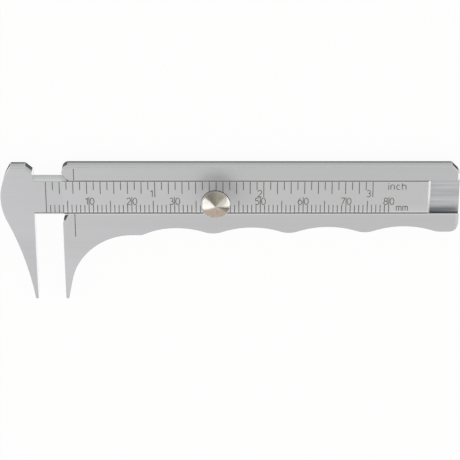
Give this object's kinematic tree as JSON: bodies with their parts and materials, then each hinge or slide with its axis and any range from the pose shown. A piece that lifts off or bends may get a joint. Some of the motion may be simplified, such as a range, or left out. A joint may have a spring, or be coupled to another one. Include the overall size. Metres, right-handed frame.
{
  "type": "dental caliper",
  "caption": "Flat steel slide caliper with pointed jaws, a dovetailed scale bar engraved in millimetres and inches, a knurled thumb screw and finger hollows along its lower edge.",
  "frame": {"origin": "under the middle of the whole caliper's box, on the plane of its back, with the jaws open as drawn", "axes": "+X along the slide from the jaws to the tail, +Y across the face from the jaw points to the straight rail, +Z out of the engraved face"},
  "size_m": [0.1072, 0.0344, 0.0098],
  "materials": {
    "steel": "satin ground stainless steel",
    "knob_steel": "fine turned steel",
    "spring_steel": "bare spring steel",
    "mark_filling": "matt dark lacquer"
  },
  "bodies": {
    "body": {"body": "steel", "stop_pin": "spring_steel", "index_lines": "mark_filling"},
    "slide": {"slide": "steel", "friction_spring": "spring_steel", "zero_line": "mark_filling", "mm_graduations": "mark_filling", "inch_graduations": "mark_filling", "mm_numerals": "mark_filling", "inch_numerals": "mark_filling", "unit_marks": "mark_filling"},
    "thumb_screw": {"thumb_screw": "knob_steel"}
  },
  "joints": [
    {"name": "slide_travel", "type": "slide", "parent": "body", "child": "slide", "axis": [-1, 0, 0], "range_m": [-0.0066, 0.0734]},
    {"name": "screw_turn", "type": "hinge", "parent": "slide", "child": "thumb_screw", "pos_m": [-0.0034, 0.0097, 0.004], "axis": [0, 0, 1], "range_deg": [-120, 180]}
  ]
}
